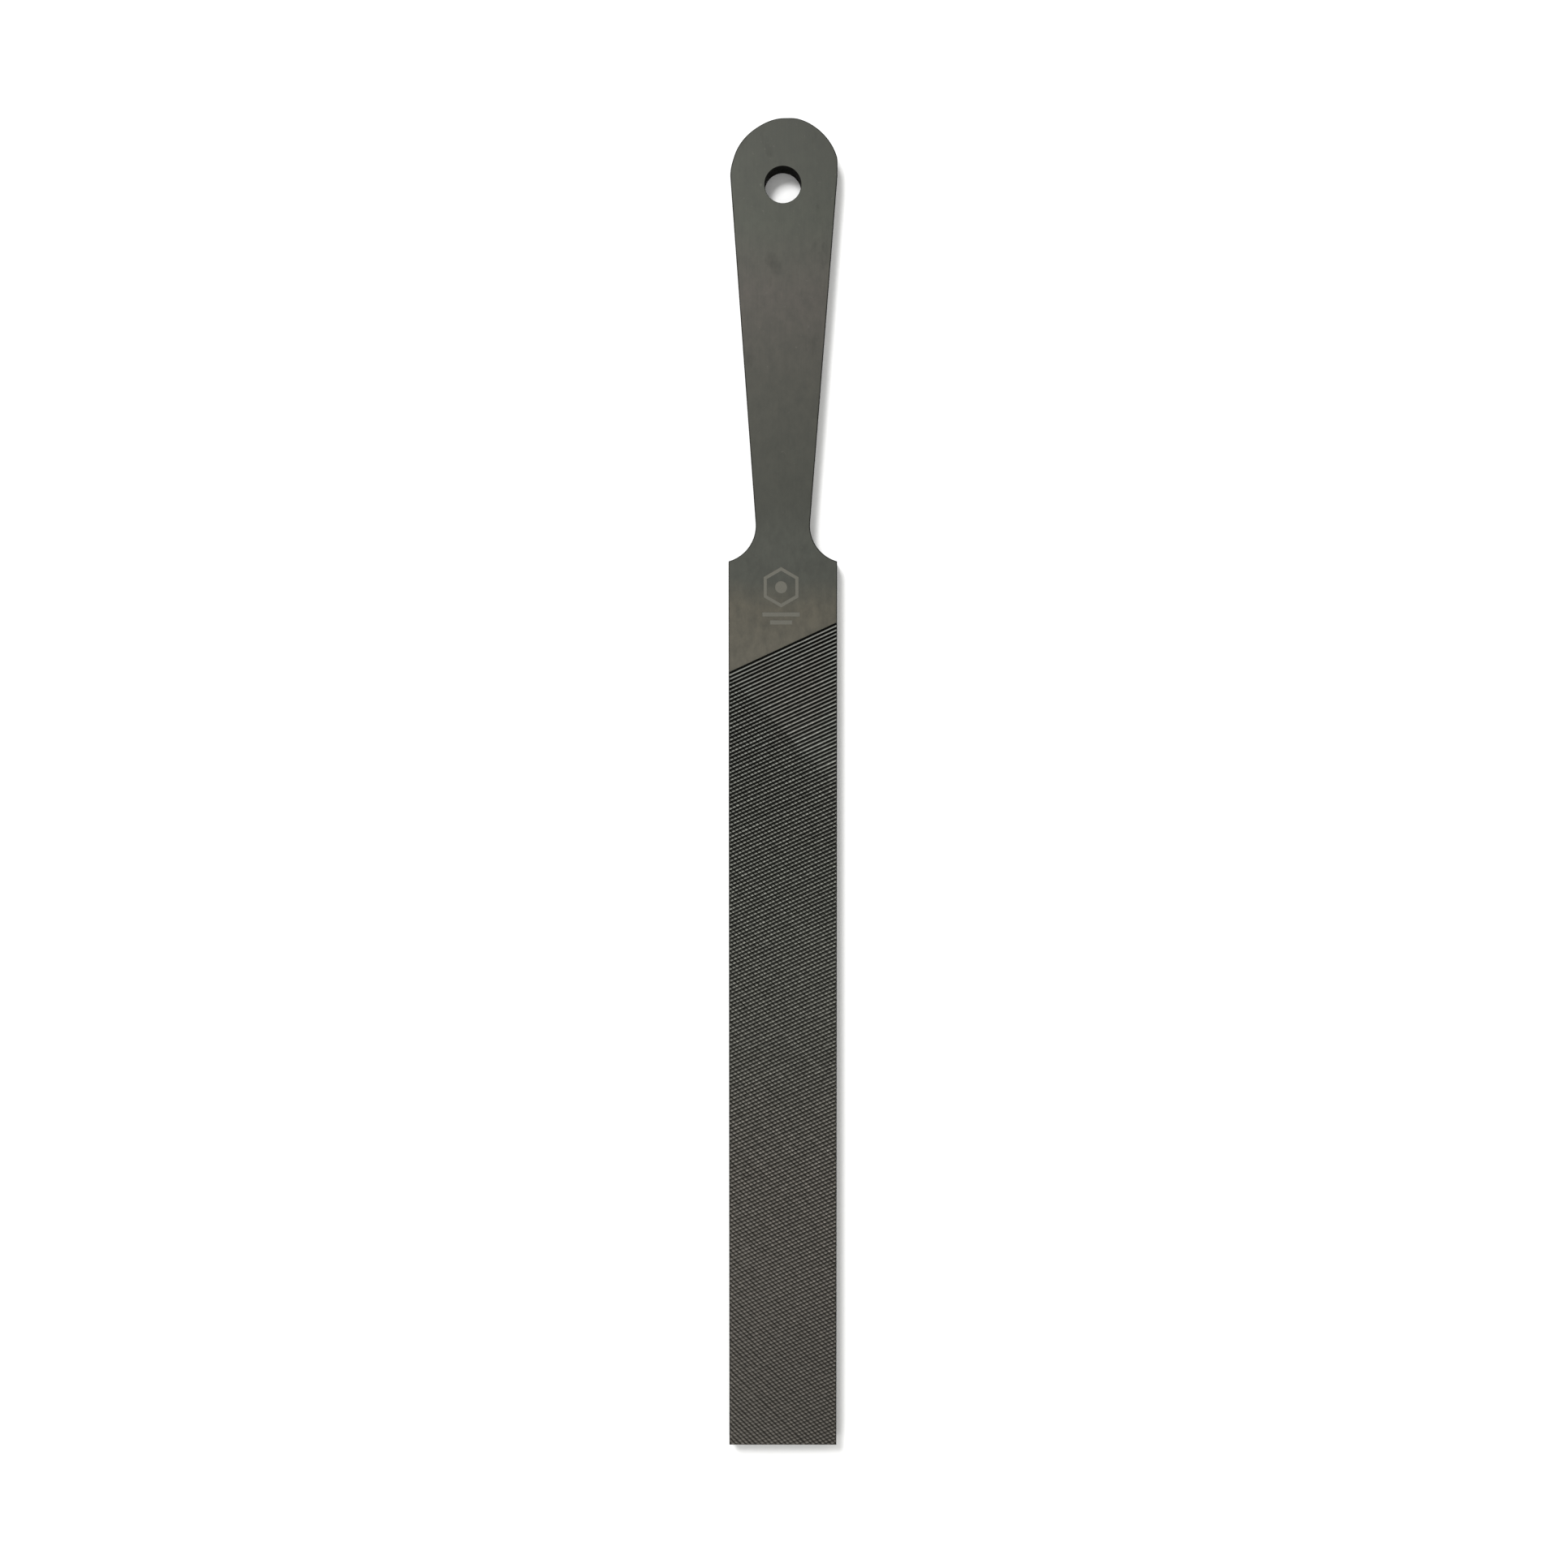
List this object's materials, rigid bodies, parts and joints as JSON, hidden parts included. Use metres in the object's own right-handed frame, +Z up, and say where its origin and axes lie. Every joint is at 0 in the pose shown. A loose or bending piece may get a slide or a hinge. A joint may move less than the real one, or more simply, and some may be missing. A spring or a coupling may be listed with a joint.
{
  "type": "flat file",
  "caption": "Flat double-cut steel file with its tapering flat handle and hanging hole in one piece with the blade.",
  "frame": {"origin": "middle of the lower wide face, halfway between the square tip and the rounded end of the handle", "axes": "+Z up out of the upper wide face, +Y along the file from the square tip to the handle's rounded end, +X across the bar"},
  "size_m": [0.03, 0.3684, 0.006],
  "materials": {
    "file_steel": "dark grey, hardened and oil-blackened, matte"
  },
  "bodies": {
    "root": {"file_body": "file_steel"}
  },
  "joints": []
}
